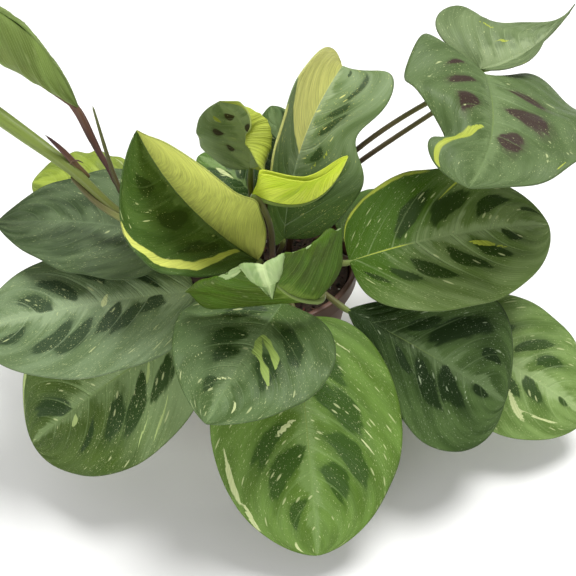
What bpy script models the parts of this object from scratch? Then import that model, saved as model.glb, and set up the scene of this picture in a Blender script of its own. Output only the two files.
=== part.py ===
"""Potted prayer plant: a variegated maranta in a plain round nursery pot.

Metres, +Z up. The origin is the centre of the pot's foot, on the surface that it stands on.
The plant's front is -Y. Each leaf, its blade and its stalk in one, stands in its own hole in
the soil, so a leaf is one piece, as are the three leaves that are still rolled up.
"""

import math
from dataclasses import dataclass

import bmesh
import bpy
from mathutils import Matrix, Vector

MM = 0.001

# The pot: a round nursery pot, 9 cm across its rim
POT_HEIGHT = 80 * MM
RIM_RADIUS = 45 * MM
RIM_DEPTH = 9 * MM
RIM_STEP = 1.6 * MM
FOOT_RADIUS = 32 * MM
POT_WALL = 1.4 * MM
DRAIN_HOLES = 6
DRAIN_RADIUS = 3 * MM
DRAIN_CIRCLE = 20 * MM

# The soil, filled to a finger's width below the rim
SOIL_TOP = 72 * MM
SOIL_RELIEF = 1.2 * MM
STALK_DEPTH = 18 * MM
GAP = 0.3 * MM

# Leaves
BLADE_THICKNESS = 0.8 * MM
STALK_RADIUS = 1.5 * MM
STALK_TOP_RADIUS = 1.1 * MM
STALK_POINTS = 7
STALK_SINK = 3 * MM

ROUND_STEPS = 36


@dataclass
class Leaf:
    """One leaf. Points are in millimetres and angles in degrees.

    foot is where the stalk leaves the soil, base and tip are the two ends of the midrib, and
    width is the blade's greatest. bow lifts the middle of the midrib off the line from base to
    tip and sweep pushes it to the leaf's left. roll turns the blade about that line, left side
    down, and twist is what the tip turns more than the base. Pairs are for the left half and
    the right half, seen from the stalk: fold is the angle at which a half leaves the midrib
    upwards, curl is how far it turns on to its margin. round_base and round_tip are the powers
    of the outline's two ends. wave is the height and the number of the margin's waves. lip is a
    margin that is turned over: side, start across, angle, and start and end along. lobe is how
    far the base's two corners reach back past the stalk, shoulder how far the two halves reach
    forward beside the tip, and halves scales the width of each. waist narrows one half: side,
    place along, share and spread. rise is how upright the stalk starts and reach how long it
    runs in line with the midrib before it, or arrive is where it comes from instead, or via
    are points that it passes. flop is a tip that hangs over: where its crease crosses the
    midrib, how much further along it meets the left and the right margin, and the angle.
    """

    name: str
    foot: tuple
    base: tuple
    tip: tuple
    width: float
    colour: str = "green"
    bow: float = 8
    sweep: float = 0
    roll: float = 0
    twist: float = 0
    fold: tuple = (10, 10)
    curl: tuple = (-20, -20)
    round_base: float = 0.5
    round_tip: float = 0.6
    wave: tuple = (1.0, 3)
    lip: tuple = ()
    lobe: tuple = (4, 4)
    shoulder: tuple = (0, 0)
    halves: tuple = (1, 1)
    waist: tuple = ()
    rise: float = 0.45
    reach: float = 0.3
    arrive: tuple = ()
    via: tuple = ()
    flop: tuple = ()
    rows: int = 10
    columns: int = 8


FRONT = [
    Leaf("leaf_front_large", (6, -18), (14, -47, 86), (24, -124, 16), 84, "lime", bow=7,
         fold=(8, 8), curl=(-14, -14), wave=(1.2, 2)),
    Leaf("leaf_front_round", (-1, -17), (9, -50, 99), (-22, -108, 89), 70, "silver", bow=4,
         roll=4, fold=(6, 6), curl=(-14, -14), round_tip=0.75),
    Leaf("leaf_centre_upturned", (8, -11), (23, -60, 111), (-2, -75, 158), 89, "olive",
         bow=-6.5, sweep=-2, roll=-45, twist=5, fold=(32, -5), curl=(39, 8), round_base=0.84,
         round_tip=0.92, lobe=(12, -4), shoulder=(-11, -16), halves=(0.76, 1), wave=(1.5, 3),
         flop=(0.79, 0.12, 0.16, -140), rows=14, columns=8),
]

LEFT = [
    Leaf("leaf_left_long", (-12, -14), (-31, -36, 92), (-129, -53, 84), 68, "silver", bow=6,
         roll=20, fold=(4, -6), curl=(-10, -20)),
    Leaf("leaf_left_low", (-6, -19), (-33, -49, 80), (-108, -72, 28), 78, "green", bow=8,
         roll=30, curl=(-12, -16), wave=(1.5, 3)),
    Leaf("leaf_left_back", (-17, -7), (-38, -14, 103), (-124, -3, 103), 70, "silver", bow=3,
         sweep=-3, fold=(6, 12), curl=(-12, -8)),
    Leaf("leaf_left_lime", (-17, 7), (-60, 25, 94), (-114, 33, 98), 40, "lime", bow=6,
         roll=15),
    Leaf("leaf_folded", (-5, -9), (-3, -16, 92), (-52, -11, 162), 94, "dark", bow=-7.6,
         sweep=1, roll=14, twist=34, fold=(12, 105), curl=(5, -1), round_base=0.86,
         round_tip=0.54, lobe=(0, 3), shoulder=(-4, 10)),
]

RIGHT = [
    Leaf("leaf_right_large", (14, 0), (39, -23, 98), (133, 2, 98), 74, "green", bow=8,
         roll=-18, fold=(6, 6), curl=(-12, -12)),
    Leaf("leaf_right_low", (14, -15), (38, -42, 86), (111, -62, 46), 78, "dark", bow=4,
         roll=-26, curl=(-14, -14), round_base=1.4, round_tip=0.75,
         halves=(1, 0.96), shoulder=(0, 6)),
    Leaf("leaf_right_outer", (22, -11), (84, -20, 51), (156, -52, 23), 68, "lime", bow=5,
         roll=-22, rise=0.75),
    Leaf("leaf_right_high", (11, 4), (103, 50, 149), (84, -39, 154), 90, "silver", bow=0,
         sweep=6.6, roll=4.5, twist=-28, fold=(9, 36), curl=(-19, -53), round_base=0.46,
         round_tip=0.68, wave=(4, 3), lobe=(23, 25), waist=(1, 0.64, 0.49, 0.15),
         arrive=(-22, 0, -12)),
    Leaf("leaf_right_top", (7, 12), (102, 59, 146), (151, 93, 161), 77, "silver", bow=-6,
         sweep=-3, twist=50, fold=(20, 50), curl=(-18, -11), round_base=0.9, round_tip=2.3,
         lobe=(22, 0), halves=(1, 0.42), rise=0.3, arrive=(14, 15, -20)),
]

MIDDLE = [
    Leaf("leaf_upright_cream", (6, 1), (9, -4, 95), (36, 48, 155), 69, "dark", bow=10.7,
         sweep=2, roll=1, twist=15, fold=(83, -7), curl=(20, -24), round_tip=0.41,
         waist=(1, 0.62, 0.37, 0.13), shoulder=(0, 17)),
    Leaf("leaf_small_top", (-2, 6), (-6, 4, 130), (-19, 14, 159), 55, "silver", bow=-7,
         sweep=-2.5, roll=63, twist=-9, fold=(0, 30), curl=(-28, -10), lobe=(1, 11),
         halves=(1, 1.13), lip=(1, 0.56, 112, 0.05, 0.95), rows=8, columns=8),
    Leaf("leaf_yellow_young", (2, -9), (-4, -27, 141), (36, -18, 154), 27, "yellow", bow=-12.4,
         sweep=-2.6, roll=7, fold=(78, 79), curl=(9, 6), round_base=0.25, wave=(0, 1),
         lobe=(7, 6), shoulder=(0, -4), rows=8, columns=6,
         via=((3.5, -16, 90), (4, -23, 106), (3.5, -27, 122), (0, -28, 136))),
    Leaf("leaf_back_white", (-6, 11), (-3, 19, 98), (-32, 36, 112), 38, "green", bow=4,
         rows=8, columns=6, halves=(0.8, 1)),
    Leaf("leaf_back_small", (4, 13), (8, 28, 104), (3, 36, 141), 28, "silver", bow=3,
         rows=8, columns=6),
]

BACK = [
    Leaf("leaf_back_left_low", (-8, 17), (-18, 30, 88), (-54, 78, 50), 56, "green", bow=8,
         rows=8, columns=6),
    Leaf("leaf_back_right_low", (9, 18), (12, 34, 88), (30, 90, 48), 56, "green", bow=8,
         rows=8, columns=6),
    Leaf("leaf_right_under", (17, 5), (38, 8, 84), (102, 38, 58), 58, "green", bow=8,
         rows=8, columns=6),
]

ROLLED_BLADE = Leaf("rolled_leaf_upper", (-9, 5), (-82, 18, 153), (-146, 36, 187), 66,
                    "lime", bow=2, fold=(10, 10), curl=(160, 160), round_base=0.9,
                    round_tip=0.5, lobe=(0, 0),
                    via=((-13, 5, 98), (-28, 3, 113), (-50, 1, 116), (-64, 1, 120),
                         (-70, 6, 129), (-76, 12, 138)))


def blade_axes(leaf):
    """Forward, left and up for the line from base to tip, with the leaf's roll in them."""
    forward = (Vector(leaf.tip) - Vector(leaf.base)).normalized()
    left = Vector((0, 0, 1)).cross(forward).normalized()
    turn = Matrix.Rotation(math.radians(-leaf.roll), 3, forward)
    left = turn @ left
    return forward, left, forward.cross(left)


def midrib(leaf, s):
    """The midrib's point at s, from 0 at the base to 1 at the tip, and its direction there."""
    base, tip = Vector(leaf.base) * MM, Vector(leaf.tip) * MM
    forward, left, up = blade_axes(leaf)
    push = (up * leaf.bow + left * leaf.sweep) * MM
    point = base.lerp(tip, s) + push * (4 * s * (1 - s))
    along = (tip - base) + push * (4 - 8 * s)
    return point, along.normalized()


def half_width(leaf, s, side):
    """The half blade's width at s: a blunt oval with its own power at each end."""
    a, b = leaf.round_base, leaf.round_tip
    widest = a / (a + b)
    width = leaf.width * leaf.halves[side] * MM / 2
    width *= (s / widest) ** a * ((1 - s) / (1 - widest)) ** b
    if leaf.waist and leaf.waist[0] == side:
        _, place, share, spread = leaf.waist
        width *= 1 - share * math.exp(-((s - place) / spread) ** 2)
    return width


def lobe_reach(leaf, s, t):
    """How far back a point lies for the leaf's heart-shaped base, and forward at its tip."""
    side = 0 if t > 0 else 1

    def swell(share):
        return share / 0.12 * math.exp(1 - share / 0.12) * (1 - share)

    reach = leaf.lobe[side] * swell(s) - leaf.shoulder[side] * swell(1 - s)
    return reach * MM * abs(t) ** 1.5


def lip_turn(leaf, s, side):
    """Where the margin turns over, as a share of the half width, and by what angle."""
    if not leaf.lip or leaf.lip[0] != side:
        return 1.0, 0.0
    _, start, angle, first, last = leaf.lip
    share = min(max((s - first) / (last - first), 0), 1)
    return start, math.radians(angle) * math.sin(math.pi * share) ** 0.7


def section(leaf, s, t):
    """The blade's section at s: how far out and how far up the point at t, -1 to 1, lies."""
    side = 0 if t > 0 else 1
    angle, turn = math.radians(leaf.fold[side]), math.radians(leaf.curl[side])
    width = half_width(leaf, s, side)
    start, over = lip_turn(leaf, s, side)

    def arc(u):
        if abs(turn) < 1e-4:
            return u * math.cos(angle), u * math.sin(angle)
        return ((math.sin(angle + turn * u) - math.sin(angle)) / turn,
                (math.cos(angle) - math.cos(angle + turn * u)) / turn)

    u = min(abs(t), start)
    out, up = arc(u)
    rest = abs(t) - u
    heading = angle + turn * u + over
    out += rest * math.cos(heading)
    up += rest * math.sin(heading)
    return out * width * (1 if t > 0 else -1), up * width


def open_point(leaf, s, t):
    """A point of the blade's middle surface, before its tip hangs over."""
    point, along = midrib(leaf, s)
    _, left, _ = blade_axes(leaf)
    left = Matrix.Rotation(math.radians(-leaf.twist * (s - 0.5)), 3, along) @ left
    up = along.cross(left).normalized()
    left = up.cross(along)
    out, lift = section(leaf, s, t)
    height, count = leaf.wave
    lift += height * MM * t * t * math.sin(math.pi * count * 2 * s + t) * math.sin(math.pi * s)
    return point + left * out + up * lift - along * lobe_reach(leaf, s, t)


def blade_point(leaf, s, t):
    """A point of the blade's middle surface. t is 1 on the left margin and -1 on the right."""
    point = open_point(leaf, s, t)
    if not leaf.flop:
        return point
    start, left_more, right_more, angle = leaf.flop
    crease = start + (left_more if t > 0 else right_more) * abs(t)
    share = min(max((s - crease) / 0.1, 0), 1)
    hinge = open_point(leaf, start + left_more, 1)
    axis = (open_point(leaf, start + right_more, -1) - hinge).normalized()
    turn = Matrix.Rotation(math.radians(angle) * share, 3, axis)
    return hinge + turn @ (point - hinge)


def bent_path(points, count):
    """count points on one smooth curve through points, in millimetres."""
    points = [Vector(p) * MM for p in points]
    path = []
    for i in range(count):
        u = i / (count - 1) * (len(points) - 1)
        k = min(int(u), len(points) - 2)
        f = u - k
        before = points[max(k - 1, 0)]
        a, b = points[k], points[k + 1]
        after = points[min(k + 2, len(points) - 1)]
        path.append(0.5 * (2 * a + (b - before) * f + (2 * before - 5 * a + 4 * b - after) * f * f
                           + (3 * a - before - 3 * b + after) * f ** 3))
    return path


def stalk_path(leaf):
    """The stalk's line: straight up out of its hole, then over to the blade's base."""
    base, along = midrib(leaf, 0)
    foot = Vector((leaf.foot[0] * MM, leaf.foot[1] * MM, SOIL_TOP + 2 * MM))
    length = (base - foot).length
    lift = foot + Vector((0, 0, leaf.rise * length))
    before = base - along * leaf.reach * length
    if leaf.arrive:
        before = base + Vector(leaf.arrive) * MM
    path = [foot - Vector((0, 0, STALK_DEPTH))]
    if leaf.via:
        path += bent_path([foot / MM, *leaf.via, leaf.base], 2 * STALK_POINTS)
        before = path[-2]
    else:
        for i in range(STALK_POINTS):
            u = i / (STALK_POINTS - 1)
            path.append(foot * (1 - u) ** 3 + lift * 3 * u * (1 - u) ** 2
                        + before * 3 * u * u * (1 - u) + base * u ** 3)
    heading = (base - before).normalized()
    path.append(base + (along + heading).normalized() * STALK_SINK)
    return path


def material(name, colour, roughness):
    made = bpy.data.materials.new(name)
    made.use_nodes = True
    shader = made.node_tree.nodes["Principled BSDF"]
    shader.inputs["Base Color"].default_value = (*colour, 1)
    shader.inputs["Roughness"].default_value = roughness
    shader.inputs["Metallic"].default_value = 0
    return made


def evaluated_mesh(obj):
    """The object's mesh with its modifiers applied, in world space."""
    bpy.context.view_layer.update()
    graph = bpy.context.evaluated_depsgraph_get()
    mesh = bpy.data.meshes.new_from_object(obj.evaluated_get(graph))
    mesh.transform(obj.matrix_world)
    return mesh


def add_object(name, mesh, where, look=None):
    obj = bpy.data.objects.new(name, mesh)
    where.objects.link(obj)
    if look:
        obj.data.materials.clear()
        obj.data.materials.append(look)
    return obj


def tube(name, path, radii, where):
    """A round solid along a path, six-sided, with its caps welded on."""
    curve = bpy.data.curves.new(name, "CURVE")
    curve.dimensions = "3D"
    curve.bevel_depth = 1
    curve.bevel_resolution = 1
    curve.use_fill_caps = True
    spline = curve.splines.new("POLY")
    spline.points.add(len(path) - 1)
    for point, place, radius in zip(spline.points, path, radii):
        point.co = (*place, 1)
        point.radius = radius
    guide = add_object(name, curve, where)
    mesh = evaluated_mesh(guide)
    bpy.data.objects.remove(guide)
    body = bmesh.new()
    body.from_mesh(mesh)
    bmesh.ops.remove_doubles(body, verts=body.verts, dist=0.01 * MM)
    bmesh.ops.recalc_face_normals(body, faces=body.faces)
    body.to_mesh(mesh)
    body.free()
    return add_object(name, mesh, where)


def fused(name, first, others, where, look):
    """first and others joined into one solid.

    MANIFOLD, because the exact solver drops a blade whose half is folded far over.
    """
    group = bpy.data.collections.new("fusing")
    where.children.link(group)
    for other in others:
        group.objects.link(other)
    union = first.modifiers.new("Fuse", "BOOLEAN")
    union.operation = "UNION"
    union.operand_type = "COLLECTION"
    union.collection = group
    union.solver = "MANIFOLD"
    mesh = evaluated_mesh(first)
    for obj in (first, *others):
        bpy.data.objects.remove(obj)
    bpy.data.collections.remove(group)
    mesh.name = name
    obj = add_object(name, mesh, where, look)
    mesh.shade_smooth()
    mesh.set_sharp_from_angle(angle=math.radians(40))
    return obj


def blade(leaf, where):
    """The blade: a grid laid over the leaf's outline, split into triangles, then thickened."""
    grid = bmesh.new()
    bmesh.ops.create_grid(grid, x_segments=leaf.rows, y_segments=leaf.columns, size=1)
    for vert in grid.verts:
        s = (1 - math.cos(math.pi * (vert.co.x + 1) / 2)) / 2
        vert.co = blade_point(leaf, s, max(-1, min(1, vert.co.y)))
    bmesh.ops.remove_doubles(grid, verts=grid.verts, dist=0.01 * MM)
    bmesh.ops.triangulate(grid, faces=grid.faces)
    mesh = bpy.data.meshes.new(leaf.name)
    grid.to_mesh(mesh)
    grid.free()
    obj = add_object(leaf.name + "_blade", mesh, where)
    wall = obj.modifiers.new("Thickness", "SOLIDIFY")
    wall.thickness = BLADE_THICKNESS
    wall.offset = 0
    return obj


def stalk(leaf, where):
    path = stalk_path(leaf)
    last = len(path) - 1
    radii = [STALK_RADIUS + (STALK_TOP_RADIUS - STALK_RADIUS) * i / last for i in range(last + 1)]
    return tube(leaf.name + "_stalk", path, radii, where)


def grow_leaf(leaf, where, looks):
    return fused(leaf.name, blade(leaf, where), [stalk(leaf, where)], where, looks[leaf.colour])


def turned(name, profile, where, look):
    """A turned solid. The profile runs from the axis, up the inside and down the outside."""
    line = bmesh.new()
    verts = [line.verts.new((r, 0, z)) for r, z in profile]
    for a, b in zip(verts, verts[1:]):
        line.edges.new((a, b))
    mesh = bpy.data.meshes.new(name)
    line.to_mesh(mesh)
    line.free()
    obj = add_object(name, mesh, where, look)
    screw = obj.modifiers.new("Turn", "SCREW")
    screw.steps = screw.render_steps = ROUND_STEPS
    screw.use_merge_vertices = True
    screw.merge_threshold = 0.01 * MM
    return obj


def pot_radius(z):
    """The pot's outer radius at height z, below its rim."""
    return FOOT_RADIUS + (RIM_RADIUS - RIM_STEP - FOOT_RADIUS) * z / POT_HEIGHT


def cut(obj, cutters, where):
    """Takes the cutters out of obj."""
    group = bpy.data.collections.new(obj.name + "_cutters")
    where.children.link(group)
    for cutter in cutters:
        group.objects.link(cutter)
        cutter.hide_render = True
        cutter.display_type = "WIRE"
    knife = obj.modifiers.new("Holes", "BOOLEAN")
    knife.operation = "DIFFERENCE"
    knife.operand_type = "COLLECTION"
    knife.collection = group
    knife.solver = "EXACT"


def upright_cylinder(name, x, y, low, high, radius, sides):
    drum = bmesh.new()
    bmesh.ops.create_cone(drum, cap_ends=True, segments=sides, radius1=radius, radius2=radius,
                          depth=high - low, matrix=Matrix.Translation((x, y, (low + high) / 2)))
    mesh = bpy.data.meshes.new(name)
    drum.to_mesh(mesh)
    drum.free()
    return bpy.data.objects.new(name, mesh)


def build_pot(where, cutters, looks):
    """A tapered shell with a deeper rim band outside and drain holes through its floor."""
    low, high = POT_WALL, POT_HEIGHT
    profile = [
        (0, low),
        (pot_radius(low) - POT_WALL, low),
        (pot_radius(high) - POT_WALL, high - 1 * MM),
        (pot_radius(high) - POT_WALL + 0.6 * MM, high),
        (RIM_RADIUS - 0.6 * MM, high),
        (RIM_RADIUS, high - 1 * MM),
        (RIM_RADIUS - 0.4 * MM, high - RIM_DEPTH),
        (pot_radius(high - RIM_DEPTH), high - RIM_DEPTH - 1 * MM),
        (FOOT_RADIUS, 2 * MM),
        (FOOT_RADIUS - 1 * MM, 0),
        (0, 0),
    ]
    pot = turned("pot", profile, where, looks["pot"])
    holes = []
    for i in range(DRAIN_HOLES):
        turn = 2 * math.pi * i / DRAIN_HOLES
        x, y = DRAIN_CIRCLE * math.cos(turn), DRAIN_CIRCLE * math.sin(turn)
        holes.append(upright_cylinder("drain", x, y, -2 * MM, low + 2 * MM, DRAIN_RADIUS, 12))
    cut(pot, holes, cutters)


def build_soil(feet, where, cutters, looks):
    """The root ball: it fills the pot, its top is lumpy, and each stalk has its own hole."""
    low, side = POT_WALL + GAP, POT_WALL + 2 * GAP
    profile = [
        (0, SOIL_TOP),
        (0.35 * RIM_RADIUS, SOIL_TOP),
        (0.66 * RIM_RADIUS, SOIL_TOP),
        (pot_radius(SOIL_TOP) - side, SOIL_TOP),
        (pot_radius(low) - side, low),
        (0, low),
    ]
    turn = turned("soil_guide", profile, where, None)
    mesh = evaluated_mesh(turn)
    bpy.data.objects.remove(turn)
    for vert in mesh.vertices:
        x, y, z = vert.co
        inside = Vector((x, y)).length < 0.8 * RIM_RADIUS
        if z > SOIL_TOP - MM and inside:
            vert.co.z += SOIL_RELIEF * math.sin(260 * x + 1) * math.cos(310 * y)
    mesh.name = "soil"
    soil = add_object("soil", mesh, where, looks["soil"])
    holes = [upright_cylinder("stalk_hole", x * MM, y * MM, SOIL_TOP - STALK_DEPTH + 2 * MM - GAP,
                              SOIL_TOP + 4 * MM, STALK_RADIUS + 1.6 * GAP, 8) for x, y in feet]
    cut(soil, holes, cutters)


def spindle_radii(count, root, belly, tip, where_belly):
    """Radii of a rolled leaf: thin at its root, widest part way, drawn out to its tip."""
    radii = []
    for i in range(count):
        u = i / (count - 1)
        if u < where_belly:
            radii.append(root + (belly - root) * math.sin(math.pi / 2 * u / where_belly))
        else:
            radii.append(tip + (belly - tip) * math.cos(math.pi / 2 * (u - where_belly)
                                                        / (1 - where_belly)))
    return radii


LOWER_ROLL_FOOT = (-12, -3)
LOWER_ROLL = [(-12, -3, 84), (-18, -9, 101), (-32, -15, 111), (-50, -17, 114), (-65, -14, 121),
              (-84, -7, 139), (-105, 4, 150), (-130, 17, 162), (-156, 30, 173)]
SPEAR_FOOT = (-13, 1)
SPEAR = [(-13, 1, 84), (-19, -1, 101), (-34, -4, 112), (-52, -6, 115), (-62, -4, 120),
         (-67, 0, 131), (-73, 7, 162)]


def build_rolled(where, looks):
    """The two leaves that are still tightly rolled, with the stalk of each."""
    for name, foot, points, radii in (
        ("rolled_leaf_lower", LOWER_ROLL_FOOT, LOWER_ROLL,
         spindle_radii(16, STALK_RADIUS, 3.7 * MM, 0.6 * MM, 0.7)),
        ("spear_leaf", SPEAR_FOOT, SPEAR,
         spindle_radii(12, STALK_RADIUS, 1.6 * MM, 0.4 * MM, 0.6)),
    ):
        start = Vector((foot[0] * MM, foot[1] * MM, SOIL_TOP + 2 * MM - STALK_DEPTH))
        path = [start, *bent_path(points, len(radii))]
        solid = tube(name, path, [STALK_RADIUS, *radii], where)
        solid.data.materials.clear()
        solid.data.materials.append(looks["lime"])


def clear_scene():
    for obj in list(bpy.data.objects):
        bpy.data.objects.remove(obj)


def main():
    clear_scene()
    plant = bpy.data.collections.new("prayer_plant")
    cutters = bpy.data.collections.new("cutters")
    for group in (plant, cutters):
        bpy.context.scene.collection.children.link(group)
    cutters.hide_render = True
    looks = {
        "pot": material("pot plastic", (0.35, 0.13, 0.07), 0.5),
        "soil": material("potting soil", (0.06, 0.035, 0.02), 0.95),
        "green": material("green leaf", (0.10, 0.22, 0.04), 0.45),
        "dark": material("dark leaf", (0.05, 0.13, 0.03), 0.45),
        "silver": material("silvery leaf", (0.16, 0.26, 0.12), 0.4),
        "lime": material("lime leaf", (0.22, 0.36, 0.06), 0.45),
        "olive": material("leaf underside", (0.15, 0.22, 0.03), 0.5),
        "yellow": material("yellow leaf", (0.50, 0.62, 0.05), 0.45),
    }
    leaves = [*FRONT, *LEFT, *RIGHT, *MIDDLE, *BACK, ROLLED_BLADE]
    build_pot(plant, cutters, looks)
    build_soil([leaf.foot for leaf in leaves] + [LOWER_ROLL_FOOT, SPEAR_FOOT],
               plant, cutters, looks)
    for leaf in leaves:
        grow_leaf(leaf, plant, looks)
    build_rolled(plant, looks)


if __name__ == "__main__":
    main()
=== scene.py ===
"""A potted prayer plant, dressed: a plain plastic pot, potting mix, and patterned leaves."""

import math
import random
from dataclasses import dataclass

import bmesh
import bpy
import numpy as np
from mathutils import Matrix, Vector, noise


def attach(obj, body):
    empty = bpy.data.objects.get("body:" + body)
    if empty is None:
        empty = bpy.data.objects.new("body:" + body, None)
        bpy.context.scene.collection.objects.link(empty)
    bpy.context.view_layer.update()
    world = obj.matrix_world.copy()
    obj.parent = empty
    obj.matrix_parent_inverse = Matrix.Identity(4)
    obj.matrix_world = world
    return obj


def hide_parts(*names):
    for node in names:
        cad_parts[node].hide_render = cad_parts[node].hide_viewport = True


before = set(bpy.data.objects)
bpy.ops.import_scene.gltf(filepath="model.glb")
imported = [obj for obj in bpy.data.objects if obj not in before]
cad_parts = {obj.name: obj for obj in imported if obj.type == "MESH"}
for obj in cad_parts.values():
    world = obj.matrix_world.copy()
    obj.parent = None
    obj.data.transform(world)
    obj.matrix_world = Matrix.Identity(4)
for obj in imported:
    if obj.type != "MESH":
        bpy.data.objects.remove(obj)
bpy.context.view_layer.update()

MM = 0.001

# The pot is a plain round nursery pot, injection moulded in brown plastic: a thin tapered
# shell with a deeper band round its rim and six drain holes through its floor. It stands on
# its foot, and everything else stands in it.
POT_HEIGHT = 80 * MM
RIM_RADIUS = 45 * MM
RIM_STEP = 1.6 * MM
RIM_DEPTH = 9 * MM
FOOT_RADIUS = 32 * MM
POT_WALL = 1.4 * MM
DRAIN_HOLES = 6
DRAIN_RADIUS = 3 * MM
DRAIN_CIRCLE = 20 * MM
POT_TONE = (92, 62, 48)


def tone(red, painted_light_green, blue):
    """A colour given as it looks on a screen, 0 to 255, as the linear colour a shader takes."""
    shares = [value / 255 for value in (red, painted_light_green, blue)]
    return [v / 12.92 if v < 0.04 else ((v + 0.055) / 1.055) ** 2.4 for v in shares] + [1]


def scaled(paint, share):
    """The tone of a paint made share times as bright on the screen."""
    return tone(*[value * share for value in paint])


class Finish:
    """A material being built: its shader, and short ways to add what feeds it."""

    def __init__(self, name, sheen=0.0):
        self.look = bpy.data.materials.new(name)
        self.look.use_nodes = True
        self.tree = self.look.node_tree
        self.shader = self.tree.nodes["Principled BSDF"]
        self.shader.inputs["Sheen Weight"].default_value = sheen
        self.shader.inputs["Sheen Roughness"].default_value = 0.5

    def put(self, socket, value):
        """Sets a socket to a number or a colour, or links an output to it."""
        if isinstance(value, bpy.types.NodeSocket):
            self.tree.links.new(value, socket)
        else:
            socket.default_value = value

    def node(self, kind, **values):
        """A node of a kind, with its named sockets set."""
        new = self.tree.nodes.new("ShaderNode" + kind)
        for name, value in values.items():
            self.put(new.inputs[name.replace("_", " ").title()], value)
        return new

    def sum(self, operation, *values):
        new = self.node("Math")
        new.operation = operation
        for socket, value in zip(new.inputs, values):
            self.put(socket, value)
        return new.outputs[0]

    def times(self, a, b):
        return self.sum("MULTIPLY", a, b)

    def plus(self, a, b):
        return self.sum("ADD", a, b)

    def ramp(self, value, slope, start):
        """value times slope, plus start."""
        return self.sum("MULTIPLY_ADD", value, slope, start)

    def edge(self, value, low, high):
        """0 where value is below low, 1 where it is above high, and smooth between."""
        new = self.node("MapRange", value=value, from_min=low, from_max=high)
        new.interpolation_type = "SMOOTHSTEP"
        return new.outputs["Result"]

    def mix(self, share, below, above):
        new = self.node("Mix")
        new.data_type = "RGBA"
        for socket, value in zip((new.inputs[0], *new.inputs[6:8]), (share, below, above)):
            self.put(socket, value)
        return new.outputs[2]

    def coat(self, below, mask, share, above):
        """below, with above over it by the mask and a share of it."""
        return self.mix(self.times(mask, share), below, above)

    def parts(self, name):
        """The three numbers of a mesh attribute."""
        read = self.node("Attribute")
        read.attribute_name = name
        return self.node("SeparateXYZ", vector=read.outputs["Vector"]).outputs

    def place(self, *values):
        new = self.node("CombineXYZ")
        for socket, value in zip(new.inputs, values):
            self.put(socket, value)
        return new.outputs[0]

    def own_place(self):
        return self.node("TexCoord").outputs["Object"]

    def cloud(self, where, scale=1.0, detail=2.0, rough=0.5):
        return self.node("TexNoise", vector=where, scale=scale, detail=detail,
                         roughness=rough).outputs["Fac"]

    def wear(self, colour, roughness):
        self.put(self.shader.inputs["Base Color"], colour)
        self.put(self.shader.inputs["Roughness"], roughness)

    def bump(self, height, distance, strength=1.0):
        new = self.node("Bump", height=height, distance=distance, strength=strength)
        self.put(self.shader.inputs["Normal"], new.outputs[0])


def mesh_of(work, name):
    """A mesh out of finished bmesh work."""
    mesh = bpy.data.meshes.new(name)
    work.to_mesh(mesh)
    work.free()
    return mesh


def set_out(name, data):
    """A new object in the scene."""
    obj = bpy.data.objects.new(name, data)
    bpy.context.scene.collection.objects.link(obj)
    return obj


def piece(name, mesh, node, slot, *looks):
    """An object at the origin that stands for a solid of the frame."""
    obj = set_out(name, mesh)
    obj.data.materials.clear()
    for look in looks:
        obj.data.materials.append(look)
    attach(obj, "root")
    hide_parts(node)
    return obj


def spun(name, profile, steps):
    """A solid turned about the Z axis from a profile of (radius, height)."""
    turned = bmesh.new()
    verts = [turned.verts.new((r, 0, z)) for r, z in profile]
    edges = [turned.edges.new(pair) for pair in zip(verts, verts[1:])]
    bmesh.ops.spin(turned, geom=verts + edges, axis=(0, 0, 1), cent=(0, 0, 0), steps=steps,
                   angle=2 * math.pi, use_merge=True)
    bmesh.ops.remove_doubles(turned, verts=turned.verts, dist=0.01 * MM)
    bmesh.ops.recalc_face_normals(turned, faces=turned.faces)
    return mesh_of(turned, name)


def pot_radius(z):
    """The pot's outer radius at height z, below its rim."""
    return FOOT_RADIUS + (RIM_RADIUS - RIM_STEP - FOOT_RADIUS) * z / POT_HEIGHT


def rounded(corners, radius, steps=4):
    """The corners with each one inside the line rounded off, as a moulding is."""
    line = [Vector(corners[0])]
    for before, corner, after in zip(corners, corners[1:], corners[2:]):
        before, corner, after = Vector(before), Vector(corner), Vector(after)
        reach = min(radius, (before - corner).length / 2.2, (after - corner).length / 2.2)
        start = corner + (before - corner).normalized() * reach
        end = corner + (after - corner).normalized() * reach
        for i in range(steps + 1):
            u = i / steps
            line.append(start.lerp(corner, u).lerp(corner.lerp(end, u), u))
    return line + [Vector(corners[-1])]


pot_finish = Finish("moulded brown plastic")
mottle = pot_finish.cloud(pot_finish.own_place(), 60, 3)
pot_finish.wear(pot_finish.mix(mottle, tone(*POT_TONE), scaled(POT_TONE, 1.12)),
                pot_finish.ramp(mottle, 0.2, 0.42))
pot_finish.bump(pot_finish.cloud(pot_finish.own_place(), 2500, 2), 0.00005, 0.4)

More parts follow.
